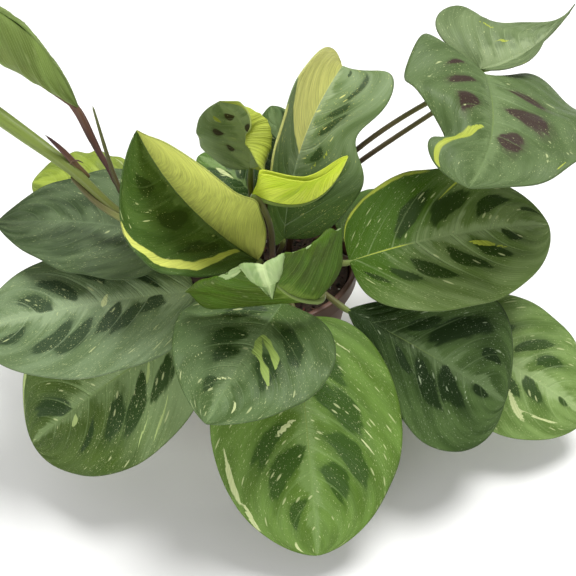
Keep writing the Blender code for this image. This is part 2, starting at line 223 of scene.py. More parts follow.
inside_low = pot_radius(POT_WALL) - POT_WALL
inside_high = pot_radius(POT_HEIGHT) - POT_WALL
pot_mesh = spun("pot", rounded([
    (0, POT_WALL),
    (inside_low, POT_WALL),
    (inside_high, POT_HEIGHT - 1 * MM),
    (inside_high + 0.6 * MM, POT_HEIGHT),
    (RIM_RADIUS - 0.3 * MM, POT_HEIGHT),
    (RIM_RADIUS, POT_HEIGHT - 1 * MM),
    (RIM_RADIUS - 0.4 * MM, POT_HEIGHT - RIM_DEPTH),
    (pot_radius(POT_HEIGHT - RIM_DEPTH), POT_HEIGHT - RIM_DEPTH - 1 * MM),
    (FOOT_RADIUS, 2 * MM),
    (FOOT_RADIUS - 1 * MM, 0),
    (0, 0),
], 0.8 * MM), 96)
pot = piece("pot_shell", pot_mesh, "pot", "pot", pot_finish.look)
drill = bmesh.new()
for i in range(DRAIN_HOLES):
    turn = 2 * math.pi * i / DRAIN_HOLES
    place = Vector((DRAIN_CIRCLE * math.cos(turn), DRAIN_CIRCLE * math.sin(turn), POT_WALL / 2))
    bmesh.ops.create_cone(drill, cap_ends=True, segments=24, radius1=DRAIN_RADIUS,
                          radius2=DRAIN_RADIUS, depth=6 * MM, matrix=Matrix.Translation(place))
drill_piece = bpy.data.objects.new("drill", mesh_of(drill, "drill"))
cut = pot.modifiers.new("Drain holes", "BOOLEAN")
cut.operation = "DIFFERENCE"
cut.object = drill_piece
bpy.context.view_layer.update()
pot.data = bpy.data.meshes.new_from_object(pot.evaluated_get(
    bpy.context.evaluated_depsgraph_get()))
pot.modifiers.clear()
bpy.data.objects.remove(drill_piece)
pot.data.shade_smooth()
pot.data.set_sharp_from_angle(angle=math.radians(40))

# The soil is a peat potting mix, pressed in to a finger's width below the rim: lumpy dark
# crumbs, with chips of bark and a few grains of white perlite on top.
SOIL_TOP = 72 * MM
SOIL_RELIEF = 1.2 * MM
SOIL_SIDE = POT_WALL + 0.6 * MM
CRUMBS = 620
PERLITE_SHARE = 0.07
BARK_SHARE = 0.18
CRUMB_TONE = (62, 45, 33)
PERLITE_TONE = (205, 200, 188)
BARK_TONE = (96, 66, 44)
MOIST_TONE = (34, 24, 17)


def soil_height(x, y):
    """The lumpy top of the soil, level at the pot's wall."""
    share = max(0.0, 1 - (Vector((x, y)).length / (0.92 * RIM_RADIUS)) ** 6)
    lumps = math.sin(260 * x + 1) * math.cos(310 * y) * SOIL_RELIEF
    crumble = noise.noise(Vector((x, y, 0)) * 420) * 0.9 * MM
    return SOIL_TOP + share * (lumps + crumble)


soil_rings = [0.06 * k for k in range(1, 16)]
soil_edge = pot_radius(SOIL_TOP) - SOIL_SIDE
soil_mesh = spun("soil", [(0, SOIL_TOP)] + [(soil_edge * r, SOIL_TOP) for r in soil_rings] + [
    (soil_edge - 0.4 * MM, SOIL_TOP - 0.1 * MM),
    (soil_edge, SOIL_TOP - 1 * MM),
    (pot_radius(POT_WALL) - SOIL_SIDE, POT_WALL + 0.3 * MM),
    (0, POT_WALL + 0.3 * MM),
], 80)
soil = bmesh.new()
soil.from_mesh(soil_mesh)
shade = soil.verts.layers.float_color.new("shade")
for vert in soil.verts:
    x, y, z = vert.co
    if z > SOIL_TOP - 0.05 * MM:
        vert.co.z = soil_height(x, y)
    dark = 0.5 + 0.5 * noise.noise(vert.co * 300)
    vert[shade] = [*tone(52 + 26 * dark, 38 + 20 * dark, 27 + 14 * dark)[:3], 1]
grit = random.Random(7)
noise.seed_set(7)  # vector noise takes its seed from the clock otherwise
for _ in range(CRUMBS):
    reach = soil_edge * math.sqrt(grit.random()) * 0.96
    turn = grit.uniform(0, 2 * math.pi)
    x, y = reach * math.cos(turn), reach * math.sin(turn)
    kind = grit.random()
    size = grit.uniform(0.7, 2.0) * MM
    stretch = Vector([grit.uniform(0.6, 1.2) for _ in range(3)])
    paint = tone(*[c * grit.uniform(0.7, 1.3) for c in CRUMB_TONE])
    if kind < PERLITE_SHARE:
        size *= 0.7
        paint = tone(*PERLITE_TONE)
    elif kind < PERLITE_SHARE + BARK_SHARE:
        stretch = Vector((grit.uniform(1.6, 2.6), 0.7, 0.45))
        paint = tone(*[c * grit.uniform(0.8, 1.2) for c in BARK_TONE])
    tip_over = Matrix.Rotation(grit.uniform(0, 6.3), 4, "Z") @ Matrix.Rotation(
        grit.uniform(-0.5, 0.5), 4, "X")
    place = Matrix.Translation((x, y, soil_height(x, y) + 0.1 * size))
    crumb = bmesh.ops.create_icosphere(soil, subdivisions=1, radius=size / 1.6,
                                       matrix=place @ tip_over @ Matrix.Diagonal((*stretch, 1)))
    for vert in crumb["verts"]:
        vert.co += noise.noise_vector(vert.co * 1500) * 0.25 * size
        vert[shade] = paint
soil.to_mesh(soil_mesh)
soil.free()
soil_finish = Finish("potting mix")
read_shade = soil_finish.node("Attribute")
read_shade.attribute_name = "shade"
fleck = soil_finish.cloud(soil_finish.own_place(), 900, 4)
soil_finish.wear(soil_finish.mix(soil_finish.edge(fleck, 0.3, 0.75), read_shade.outputs["Color"],
                                 tone(*MOIST_TONE)), 0.95)
soil_finish.bump(fleck, 0.0006, 0.8)
soil_piece = piece("soil_fill", soil_mesh, "soil", "soil", soil_finish.look)

# The front leaves hang over the pot towards the viewer: the large bright one lowest, the
# rounder grey-green one on it, and above them one that stands up and shows its underside.
# A leaf is a thin blade on a stalk. Its side veins leave the midrib and arch to the tip, and
# all its markings, the paired dark blotches and the pale flecks, lie along them.
BLADE_THICKNESS = 0.6 * MM
STALK_RADIUS = 1.5 * MM
STALK_TOP_RADIUS = 1.1 * MM
STALK_DEPTH = 18 * MM
LEAF_ROWS = 84
LEAF_COLUMNS = 52
VEIN_STEP = 0.115
VEIN_ARCH = (0.16, 0.26)
GROWN_WIDTH = 84
GROOVE_DEPTH = 0.5
GROOVE_HALF = 1.3
QUILT_HEIGHT = 1.3
RIPPLE_HEIGHT = 1.7
SWELL_HEIGHT = 1.9
STALK_ROWS = 26
RIB_ROWS = 22
RIB_END = 0.86
OUTSIDE = -3.0
LEFT, RIGHT = 0, 1


@dataclass
class Leaf:
    """One leaf. Points are in millimetres and angles in degrees.

    foot is where the stalk leaves the soil, base and tip are the two ends of the midrib, and
    width is the blade's greatest. bow lifts the middle of the midrib off the line from base to
    tip and sweep pushes it to the leaf's left. roll turns the blade about that line, left side
    down, and twist is what the tip turns more than the base. Pairs are for the left half and
    the right half, seen from the stalk: fold is the angle at which a half leaves the midrib
    upwards, curl is how far it turns on to its margin. round_base and round_tip are the powers
    of the outline's two ends. wave is the height and the number of the margin's waves. lip is a
    margin that is turned over: side, start across, angle, and start and end along. lobe is how
    far the base's two corners reach back past the stalk, shoulder how far the two halves reach
    forward beside the tip, and halves scales the width of each. waist narrows one half: side,
    place along, share and spread. rise is how upright the stalk starts and reach how long it
    runs in line with the midrib before it, or arrive is where it comes from instead, or via
    are points that it passes. flop is a tip that hangs over: where its crease crosses the
    midrib, how much further along it meets the left and the right margin, and the angle.

    Markings have their place along the midrib, 0 to 1, and across, 1 at the left margin and -1
    at the right. blotches also have half their length along the veins and half their width.
    pale and yellow flecks are the same, with the angle at which they lie to the midrib, or None
    to follow the veins. bands run along one margin: paint, side, from and to across, from and to
    along. strokes are yellow streaks of any course: points, and half the width at the start, in
    the middle and at the end. wedge is a pale wedge between the midrib and a line: side, start
    and slope.
    """

    name: str
    foot: tuple
    base: tuple
    tip: tuple
    width: float
    bow: float = 8
    sweep: float = 0
    roll: float = 0
    twist: float = 0
    fold: tuple = (10, 10)
    curl: tuple = (-20, -20)
    round_base: float = 0.5
    round_tip: float = 0.6
    wave: tuple = (1.0, 3)
    lip: tuple = ()
    lobe: tuple = (4, 4)
    shoulder: tuple = (0, 0)
    halves: tuple = (1, 1)
    waist: tuple = ()
    rise: float = 0.45
    reach: float = 0.3
    arrive: tuple = ()
    via: tuple = ()
    flop: tuple = ()
    blotches: tuple = ((0.25, 0.35, 8, 4), (0.42, 0.38, 9, 4), (0.6, 0.35, 8, 4),
                       (0.3, -0.35, 8, 4), (0.48, -0.38, 9, 4), (0.66, -0.33, 7, 4))
    pale: tuple = ()
    yellow: tuple = ()
    bands: tuple = ()
    strokes: tuple = ()
    wedge: tuple = ()
    band_width: float = 6


def blade_length(leaf):
    return (Vector(leaf.tip) - Vector(leaf.base)).length


def blade_axes(leaf):
    """Forward, left and up for the line from base to tip, with the leaf's roll in them."""
    forward = (Vector(leaf.tip) - Vector(leaf.base)).normalized()
    left = Vector((0, 0, 1)).cross(forward).normalized()
    turn = Matrix.Rotation(math.radians(-leaf.roll), 3, forward)
    left = turn @ left
    return forward, left, forward.cross(left)


def clamp(value):
    return min(max(value, 0), 1)


def midrib(leaf, s):
    """The midrib's point at s, from 0 at the base to 1 at the tip, and its direction there."""
    base, tip = Vector(leaf.base) * MM, Vector(leaf.tip) * MM
    forward, left, up = blade_axes(leaf)
    push = (up * leaf.bow + left * leaf.sweep) * MM
    point = base.lerp(tip, s) + push * (4 * s * (1 - s))
    along = (tip - base) + push * (4 - 8 * s)
    return point, along.normalized()


def half_width(leaf, s, side):
    """The half blade's width at s: a blunt oval with its own power at each end."""
    a, b = leaf.round_base, leaf.round_tip
    widest = a / (a + b)
    width = leaf.width * leaf.halves[side] * MM / 2
    width *= (s / widest) ** a * ((1 - s) / (1 - widest)) ** b
    if leaf.waist and leaf.waist[0] == side:
        _, place, share, spread = leaf.waist
        width *= 1 - share * math.exp(-((s - place) / spread) ** 2)
    return width


def lobe_reach(leaf, s, t):
    """How far back a point lies for the leaf's heart-shaped base, and forward at its tip."""
    side = LEFT if t > 0 else RIGHT

    def swell(share):
        return share / 0.12 * math.exp(1 - share / 0.12) * (1 - share)

    reach = leaf.lobe[side] * swell(s) - leaf.shoulder[side] * swell(1 - s)
    return reach * MM * abs(t) ** 1.5


def lip_turn(leaf, s, side):
    """Where the margin turns over, as a share of the half width, and by what angle."""
    if not leaf.lip or leaf.lip[0] != side:
        return 1.0, 0.0
    _, start, angle, first, last = leaf.lip
    share = clamp((s - first) / (last - first))
    return start, math.radians(angle) * math.sin(math.pi * share) ** 0.7


def section(leaf, s, t):
    """The blade's section at s: how far out and how far up the point at t, -1 to 1, lies."""
    side = LEFT if t > 0 else RIGHT
    angle, turn = math.radians(leaf.fold[side]), math.radians(leaf.curl[side])
    width = half_width(leaf, s, side)
    start, over = lip_turn(leaf, s, side)

    def arc(u):
        if abs(turn) < 1e-4:
            return u * math.cos(angle), u * math.sin(angle)
        return ((math.sin(angle + turn * u) - math.sin(angle)) / turn,
                (math.cos(angle) - math.cos(angle + turn * u)) / turn)

    u = min(abs(t), start)
    out, up = arc(u)
    rest = abs(t) - u
    heading = angle + turn * u + over
    out += rest * math.cos(heading)
    up += rest * math.sin(heading)
    return out * width * (1 if t > 0 else -1), up * width


def open_point(leaf, s, t):
    """A point of the blade's middle surface, before its tip hangs over."""
    point, along = midrib(leaf, s)
    _, left, _ = blade_axes(leaf)
    left = Matrix.Rotation(math.radians(-leaf.twist * (s - 0.5)), 3, along) @ left
    up = along.cross(left).normalized()
    left = up.cross(along)
    out, lift = section(leaf, s, t)
    height, count = leaf.wave
    lift += height * MM * t * t * math.sin(math.pi * count * 2 * s + t) * math.sin(math.pi * s)
    return point + left * out + up * lift - along * lobe_reach(leaf, s, t)


def blade_point(leaf, s, t):
    """A point of the blade's middle surface. t is 1 on the left margin and -1 on the right."""
    point = open_point(leaf, s, t)
    if not leaf.flop:
        return point
    start, left_more, right_more, angle = leaf.flop
    crease = start + (left_more if t > 0 else right_more) * abs(t)
    share = clamp((s - crease) / (1 - crease) * 1.7)
    share = share * share * (3 - 2 * share)
    hinge = open_point(leaf, start + left_more, 1)
    axis = (open_point(leaf, start + right_more, -1) - hinge).normalized()
    turn = Matrix.Rotation(math.radians(angle) * share, 3, axis)
    return hinge + turn @ (point - hinge)


def arch(t):
    """How far towards the tip, as a share of the blade, a side vein has come at t."""
    return VEIN_ARCH[0] * abs(t) + VEIN_ARCH[1] * t * t


def vein_lines(leaf, side):
    """Where the main side veins of one half leave the midrib: between its blotches."""
    starts = sorted(s - arch(t) for s, t, *_ in leaf.blotches if (t > 0) == (side == LEFT))
    lines = [(a + b) / 2 for a, b in zip(starts, starts[1:]) if b - a > 0.05] or [0.3]
    while lines[0] > -0.6:
        lines.insert(0, lines[0] - VEIN_STEP)
    while lines[-1] < 1.1:
        lines.append(lines[-1] + VEIN_STEP)
    return lines


def vein_phase(lines, start):
    """How many veins lie before start: a whole number on a vein."""
    return float(np.interp(start, lines, range(len(lines))))


def oval(along, across, length, width):
    """Above 0 inside an oval that is narrower at its inner end, and 1 at its middle."""
    swell = 1 + 0.45 * max(min(along / length, 1.2), -1.2)
    return 1 - along * along / length ** 2 - (across / width / swell) ** 2


def stroke_depth(leaf, s, t, points, widths):
    """How deep a point lies in a streak that runs through points: 1 on its middle line."""
    scale = Vector((blade_length(leaf), leaf.width / 2))
    here = Vector((s, t)) * scale
    depth = OUTSIDE
    for k, (a, b) in enumerate(zip(points, points[1:])):
        a, b = Vector(a) * scale, Vector(b) * scale
        share = clamp((here - a).dot(b - a) / (b - a).length_squared)
        width = float(np.interp((k + share) / (len(points) - 1), (0, 0.5, 1), widths))
        depth = max(depth, 1 - (here - a.lerp(b, share)).length / width)
    return depth


def marks_at(leaf, s, t, side):
    """How deep the point lies in a blotch, in a pale mark, in a yellow mark, in the pale band."""
    length = blade_length(leaf)
    half = leaf.width / 2
    sign = 1 if side == LEFT else -1
    across = abs(t) * half
    start = s - arch(t)
    found = {"blotch": OUTSIDE, "pale": OUTSIDE, "yellow": OUTSIDE}
    near = 1e9

    def add(paint, depth):
        found[paint] = max(found[paint], depth)

    for s0, t0, long, wide in leaf.blotches:
        if t0 * sign <= 0:
            continue
        step = (start - (s0 - arch(t0))) * length
        near = min(near, abs(step) / wide)
        add("blotch", oval(across - abs(t0) * half, step, 0.85 * long, 1.25 * wide))
    for paint, flecks in (("pale", leaf.pale), ("yellow", leaf.yellow)):
        for s0, t0, long, wide, *lean in flecks:
            if lean:
                dx, dy = (s - s0) * length, (t - t0) * half
                turn = math.radians(lean[0])
                add(paint, oval(dx * math.cos(turn) + dy * math.sin(turn),
                                dy * math.cos(turn) - dx * math.sin(turn), long, wide))
            elif t0 * sign > 0:
                step = (start - (s0 - arch(t0))) * length
                add(paint, oval(across - abs(t0) * half, step, long, wide))
    for paint, band_side, inner, outer, first, last in leaf.bands:
        if band_side == side:
            add(paint, min((abs(t) - inner) * half / 3, (outer - abs(t)) * half / 3,
                           (s - first) * length / 10, (last - s) * length / 10))
    for points, widths in leaf.strokes:
        add("yellow", stroke_depth(leaf, s, t, points, widths))
    if leaf.wedge and leaf.wedge[0] == side:
        _, first, slope = leaf.wedge
        add("pale", min(((s - first) * slope - abs(t)) * half / 4, 2))
    reach = leaf.band_width * (1 - 0.7 * s) * (0.75 + 1.1 * min(near / 1.6, 1) ** 2)
    return tuple(found.values()), 1 - across / reach


def relief(leaf, s, t, phase, seed):
    """How far the surface stands off its plain form: a groove at the midrib, veins, ripples."""
    fade = math.sin(math.pi * clamp(s)) ** 0.7
    across = abs(t)
    groove = -GROOVE_DEPTH * math.exp(-(across * leaf.width / 2 / GROOVE_HALF) ** 2)
    pillow = abs((phase + 0.5) % 1 - 0.5) * 2
    veins = (QUILT_HEIGHT * pillow ** 0.6 - 0.8) * min(across * 4, 1) * (1 - across ** 4)
    ripple = RIPPLE_HEIGHT * across ** 3 * noise.noise(Vector((s * 5.5, t * 1.2, seed)))
    swell = SWELL_HEIGHT * noise.noise(Vector((s * 2.6 + 9, t * 1.3, seed * 1.7))) * across
    small = min(1, leaf.width / GROWN_WIDTH) ** 1.5
    return (groove + veins + ripple + swell) * fade * small * MM


def blade(leaf, seed):
    """The blade's middle sheet, with its markings kept as attributes of its corners."""
    sheet = bmesh.new()
    bmesh.ops.create_grid(sheet, x_segments=LEAF_ROWS, y_segments=LEAF_COLUMNS, size=1)
    vein_layer = sheet.loops.layers.float_vector.new("vein")
    mark_layer = sheet.loops.layers.float_vector.new("mark")
    place_layer = sheet.loops.layers.float_vector.new("place")
    lines = [vein_lines(leaf, LEFT), vein_lines(leaf, RIGHT)]
    length = blade_length(leaf)
    spots = {}
    for vert in sheet.verts:
        s = (1 - math.cos(math.pi * (vert.co.x + 1) / 2)) / 2
        spots[vert] = (s, max(-1, min(1, vert.co.y)))
    known = {}
    for face in sheet.faces:
        side = LEFT if face.calc_center_median().y > 0 else RIGHT
        for loop in face.loops:
            s, t = spots[loop.vert]
            key = (loop.vert.index, side)
            if key not in known:
                start = s - arch(t)
                half = half_width(leaf, s, side) / MM
                mark, band = marks_at(leaf, s, t, side)
                known[key] = ((vein_phase(lines[side], start), t * leaf.width / 2,
                               start * length + 61.7 * seed),
                              mark, (band, (1 - abs(t)) * half, s))
            loop[vein_layer], loop[mark_layer], loop[place_layer] = known[key]
    for vert, (s, t) in spots.items():
        vert.co = blade_point(leaf, s, t)
    sheet.normal_update()
    for vert, (s, t) in spots.items():
        phase = vein_phase(lines[LEFT if t > 0 else RIGHT], s - arch(t))
        vert.co += vert.normal * relief(leaf, s, t, phase, seed)
    bmesh.ops.remove_doubles(sheet, verts=sheet.verts, dist=0.02 * MM)
    mesh = mesh_of(sheet, leaf.name)
    mesh.shade_smooth()
    return mesh


def smooth_line(points, count):
    """count points on one smooth curve through points."""
    line = []
    for i in range(count):
        u = i / (count - 1) * (len(points) - 1)
        k = min(int(u), len(points) - 2)
        f = u - k
        before, after = points[max(k - 1, 0)], points[min(k + 2, len(points) - 1)]
        a, b = points[k], points[k + 1]
        line.append(0.5 * (2 * a + (b - before) * f + (2 * before - 5 * a + 4 * b - after) * f * f
                           + (3 * a - before - 3 * b + after) * f ** 3))
    return line


def round_tube(name, path, radius_at, sides=14):
    """A closed round stem along a path: a grid wrapped round it, its ends drawn to a point.

    radius_at gives the radius for a share along and a turn round. The attribute stem keeps the
    share along, the turn and the length so far in millimetres.
    """
    wrap = bmesh.new()
    rows = len(path)
    bmesh.ops.create_grid(wrap, x_segments=rows - 1, y_segments=sides, size=1)
    stem = wrap.loops.layers.float_vector.new("stem")
    tangents = [(path[min(i + 1, rows - 1)] - path[max(i - 1, 0)]).normalized()
                for i in range(rows)]
    side = tangents[0].orthogonal().normalized()
    sides_at = []
    lengths = [0.0]
    for i in range(rows):
        side = (side - tangents[i] * side.dot(tangents[i])).normalized()
        sides_at.append((side, tangents[i].cross(side)))
        if i:
            lengths.append(lengths[-1] + (path[i] - path[i - 1]).length / MM)
    for vert in wrap.verts:
        row = round((vert.co.x + 1) / 2 * (rows - 1))
        turn = (vert.co.y + 1) / 2
        vert.co = Vector((row, turn, 0))
    for face in wrap.faces:
        for loop in face.loops:
            row, turn, _ = loop.vert.co
            loop[stem] = (row / (rows - 1), turn, lengths[round(row)])
    for vert in wrap.verts:
        row, turn = round(vert.co.x), vert.co.y
        across, over = sides_at[row]
        angle = 2 * math.pi * turn
        end = 0 if row in (0, rows - 1) else 1
        radius = radius_at(row / (rows - 1), turn) * end
        vert.co = path[row] + (across * math.cos(angle) + over * math.sin(angle)) * radius
    bmesh.ops.remove_doubles(wrap, verts=wrap.verts, dist=0.005 * MM)
    bmesh.ops.recalc_face_normals(wrap, faces=wrap.faces)
    mesh = mesh_of(wrap, name)
    mesh.shade_smooth()
    return mesh


def crease_up(leaf, s):
    """The direction in which the blade's upper side faces at the midrib."""
    _, along = midrib(leaf, s)
    _, left, _ = blade_axes(leaf)
    up = along.cross(left).normalized()
    left = up.cross(along)
    a, b = math.radians(leaf.fold[LEFT]), math.radians(leaf.fold[RIGHT])
    return (left * (math.sin(b) - math.sin(a)) + up * (math.cos(a) + math.cos(b))).normalized()


def stalk(leaf):
    """The stalk out of the soil, its knee below the blade, and the rib under the blade."""
    base, along = midrib(leaf, 0)
    foot = Vector((leaf.foot[0] * MM, leaf.foot[1] * MM, SOIL_TOP + 2 * MM))
    length = (base - foot).length
    lift = foot + Vector((0, 0, leaf.rise * length))
    before = base - along * leaf.reach * length
    if leaf.arrive:
        before = base + Vector(leaf.arrive) * MM
    path = [foot - Vector((0, 0, STALK_DEPTH)), foot - Vector((0, 0, STALK_DEPTH / 2))]
    if leaf.via:
        course = smooth_line([foot, *(Vector(p) * MM for p in leaf.via), base], STALK_ROWS)
    else:
        course = [foot * (1 - u) ** 3 + lift * 3 * u * (1 - u) ** 2
                  + before * 3 * u * u * (1 - u) + base * u ** 3
                  for u in (i / (STALK_ROWS - 1) for i in range(STALK_ROWS))]
    for i, point in enumerate(course):
        path.append(point - crease_up(leaf, 0) * 0.8 * MM * (i / (STALK_ROWS - 1)) ** 6)
    rib_start = len(path)
    rib_end = leaf.flop[0] - 0.04 if leaf.flop else RIB_END
    for i in range(1, RIB_ROWS + 1):
        s = rib_end * i / RIB_ROWS
        point, _ = midrib(leaf, s)
        path.append(point - crease_up(leaf, s) * (0.95 - 0.6 * s) * MM)
    rows = len(path) - 1
    knee = (rib_start - 4) / rows

    def radius_at(share, turn):
        if share * rows >= rib_start:
            left = (share * rows - rib_start) / RIB_ROWS
            return (1.0 - 0.85 * left) * MM
        slim = STALK_RADIUS + (STALK_TOP_RADIUS - STALK_RADIUS) * share * rows / rib_start
        swollen = 0.35 * MM * math.exp(-((share - knee) * rows / 3.2) ** 2)
        wing = 0.5 * MM * max(0, 1 - share * 2.6) * math.cos(2 * math.pi * turn) ** 8
        return slim + swollen + wing

    return round_tube(leaf.name + "_stalk", path, radius_at), rib_start / rows


def leaf_skin(name, ground, shade, pale, deep, cream=(208, 218, 156), yellow=(180, 192, 72),
              roughness=0.45, dashes=0.8, specks=0.8, band_share=0.75, foot=None, gloss=0.2,
              under=False):
    """A blade's skin: satin green with a feathered pale band and dark blotches along its veins.

    foot is another green near the stalk, where it paints the light on the blade: a darker foot
    is painted shade, a lighter, greyer foot is a painted sheen, and a foot greener than a grey
    blade is the part left without the blade's painted sheen. It gives that green, how far along
    it ends, and how much further on the left half, for each millimetre across. under gives the
    lower side instead: the veins stand out, and the pattern only shows through.
    """
    skin = Finish(name)
    phase, across, along = skin.parts("vein")
    blotch, light, gold = skin.parts("mark")
    band, margin, s = skin.parts("place")
    far = skin.sum("ABSOLUTE", across)
    ridge_tone = scaled(pale, 1.06)

    def grain(lengthwise, crosswise, shift, detail=2.0, rough=0.5):
        """Noise that is drawn out along the veins or across them."""
        return skin.cloud(skin.place(skin.times(along, lengthwise),
                                     skin.times(across, crosswise), shift), 1, detail, rough)

    streak = grain(1.3, 0.08, 0, 3, 0.65)
    finger = grain(0.42, 0.07, 7, 2, 0.6)
    fray = skin.plus(skin.ramp(streak, 0.5, -0.25), skin.ramp(finger, 0.9, -0.45))
    fray = skin.plus(fray, skin.ramp(grain(0.17, 0.13, 11, 1), 1.5, -0.75))
    crowd = skin.edge(grain(0.05, 0.05, 5), 0.35, 0.7)
    near_tip = skin.edge(s, 0.97, 0.72)
    to_vein = skin.times(skin.sum("PINGPONG", phase, 0.5), 11)
    vein = skin.times(skin.edge(to_vein, 0.7, 0.15), skin.edge(far, 36, 4))
    vein = skin.times(vein, near_tip)
    thread = skin.edge(skin.sum("PINGPONG", skin.times(along, 0.55), 0.5), 0.2, 0.02)
    thread = skin.times(near_tip, thread)
    feather = skin.edge(skin.plus(band, skin.times(fray, 1.7)), -0.5, 0.6)
    colour = skin.mix(skin.edge(grain(0.09, 0.06, 3), 0.35, 0.65), tone(*ground), tone(*shade))
    colour = skin.coat(colour, skin.edge(skin.plus(blotch, fray), -1.5, 0.1),
                       0.1 if under else 0.3, tone(*deep))
    colour = skin.coat(colour, feather, band_share, tone(*pale))
    colour = skin.coat(colour, skin.edge(streak, 0.45, 0.8), 0.22, tone(*pale))
    # The foot's green is painted light near the stalk: painted shade on some leaves, a painted
    # sheen on others, and on others the green left where the rest carries a painted sheen.
    if foot:
        painted_light_green, end, lean = (*foot, 0)[:3]
        reach = skin.plus(s, skin.ramp(finger, 0.3, -0.15))
        reach = skin.plus(reach, skin.times(across, -lean))
        colour = skin.coat(colour, skin.edge(reach, end, end * 0.3), 0.92, tone(*painted_light_green))
    colour = skin.coat(colour, thread, 0.28 if under else 0.05, tone(*pale))
    colour = skin.coat(colour, skin.edge(skin.plus(blotch, fray), -0.2, 0.35),
                       0.2 if under else 0.93, tone(*deep))
    colour = skin.coat(colour, vein, skin.ramp(finger, 0.8, -0.05), ridge_tone)
    colour = skin.coat(colour, skin.edge(far, 0.9, 0.3), 0.35, ridge_tone)

    def flecks(lengthwise, crosswise, chance, size):
        """Scattered flecks, more of them where they crowd: 1 inside one."""
        cells = skin.node("TexVoronoi", scale=1.0, vector=skin.place(
            skin.times(along, lengthwise), skin.times(across, crosswise), 0))
        cells.voronoi_dimensions = "2D"
        draw = skin.node("SeparateColor", color=cells.outputs["Color"]).outputs
        reach = skin.ramp(draw[1], size, 0.06)
        inside = skin.edge(cells.outputs["Distance"], reach, skin.times(reach, 0.5))
        rare = skin.sum("SUBTRACT", chance + 0.14, skin.times(crowd, 0.28))
        return skin.times(inside, skin.edge(draw[0], rare, skin.plus(rare, 0.02)))

    torn = skin.times(fray, 0.55)
    for mask, paint, share in (
            (flecks(1.9, 1.5, specks + 0.02, 0.2), cream, 0.1 if under else 0.45),
            (flecks(1.0, 0.7, specks, 0.22), cream, 0.12 if under else 0.5),
            (flecks(0.3, 0.13, dashes, 0.2), cream, 0.15 if under else 0.6),
            (skin.edge(skin.plus(gold, torn), -0.15, 0.2), yellow, 0.92),
            (skin.edge(skin.plus(light, torn), -0.15, 0.2), cream, 0.92)):
        colour = skin.coat(colour, mask, share, skin.mix(
            skin.edge(streak, 0.25, 0.75), tone(*paint), scaled(paint, 0.82)))
    colour = skin.coat(colour, skin.edge(margin, 0.6, 0.1), 0.5, scaled(ground, 0.8))
    skin.wear(colour, skin.ramp(streak, 0.2, roughness - 0.1))
    skin.shader.inputs["Specular IOR Level"].default_value = gloss
    rise = skin.plus(skin.times(vein, 0.9 if under else -0.5),
                     skin.times(thread, 0.5 if under else -0.12))
    skin.bump(skin.plus(rise, skin.times(streak, 0.7)), 0.0005, 0.7)
    return skin.look


def stem_skin(name, low, high, top, knee_at):
    """A stalk's skin, purple-brown at its foot and greener upwards, ribbed lengthwise."""
    skin = Finish(name, 0.1)
    share, turn, length = skin.parts("stem")
    rib = skin.cloud(skin.place(skin.times(turn, 26), skin.times(length, 0.08), 0), 1, 2)
    blend = skin.plus(share, skin.ramp(rib, 0.2, -0.1))
    colour = skin.mix(skin.edge(blend, knee_at * 0.3, knee_at * 0.8), tone(*low), tone(*high))
    colour = skin.mix(skin.edge(blend, knee_at * 0.8, knee_at), colour, tone(*top))
    colour = skin.coat(colour, skin.edge(rib, 0.4, 0.8), 0.3, scaled(low, 0.75))
    skin.wear(colour, skin.ramp(rib, 0.2, 0.38))
    skin.shader.inputs["Specular IOR Level"].default_value = 0.3
    skin.bump(rib, 0.00015, 0.4)
    return skin.look


GREEN = ((82, 112, 38), (66, 96, 26), (114, 138, 82), (36, 62, 12))
GREY = ((112, 136, 90), (90, 114, 66), (136, 158, 110), (52, 72, 40))
UNDER = ((104, 122, 62), (88, 108, 48), (146, 160, 96), (66, 86, 36))
grown = 0


def grow(leaf, slot, over, under=UNDER, stem=((74, 52, 36), (92, 92, 46), (112, 132, 60)),
         **more):
    """Adds a leaf: its blade, which is thickened both ways, and its stalk."""
    global grown
    grown += 1
    sheet = piece(leaf.name + "_blade", blade(leaf, grown), leaf.name, slot,
                  leaf_skin(leaf.name + " upper side", *over, **more),
                  leaf_skin(leaf.name + " lower side", *under, under=True, roughness=0.55))
    wall = sheet.modifiers.new("Thickness", "SOLIDIFY")
    wall.thickness = BLADE_THICKNESS
    wall.offset = 0
    wall.material_offset = 1
    mesh, knee_at = stalk(leaf)
    piece(leaf.name + "_stem", mesh, leaf.name, slot,
          stem_skin(leaf.name + " stalk", *stem, knee_at))


grow(Leaf("leaf_front_large", (6, -18), (14, -47, 86), (24, -124, 16), 84, bow=7, fold=(8, 8),
          curl=(-14, -14), wave=(1.2, 2),
          blotches=((0.22, -0.3, 8, 4), (0.5, -0.42, 10, 4.6), (0.61, -0.28, 12.5, 5.6),
                    (0.8, -0.25, 8.5, 3.4), (0.2, 0.3, 9, 5), (0.37, 0.33, 14, 7),
                    (0.58, 0.42, 12.5, 5.6), (0.68, 0.27, 9.5, 5.4)),
          pale=((0.62, -0.9, 14, 1.5, -6), (0.8, -0.92, 8, 1.4, -20), (0.5, 0.6, 6, 0.9),
                (0.56, 0.62, 4, 0.8), (0.44, -0.2, 6, 1.6), (0.13, 0.55, 7, 0.8),
                (0.95, -0.6, 6, 1.2, -60))),
     "leaf_lime", ((98, 128, 52), (78, 106, 32), (112, 138, 76), (44, 72, 10)), dashes=0.72,
     specks=0.7)
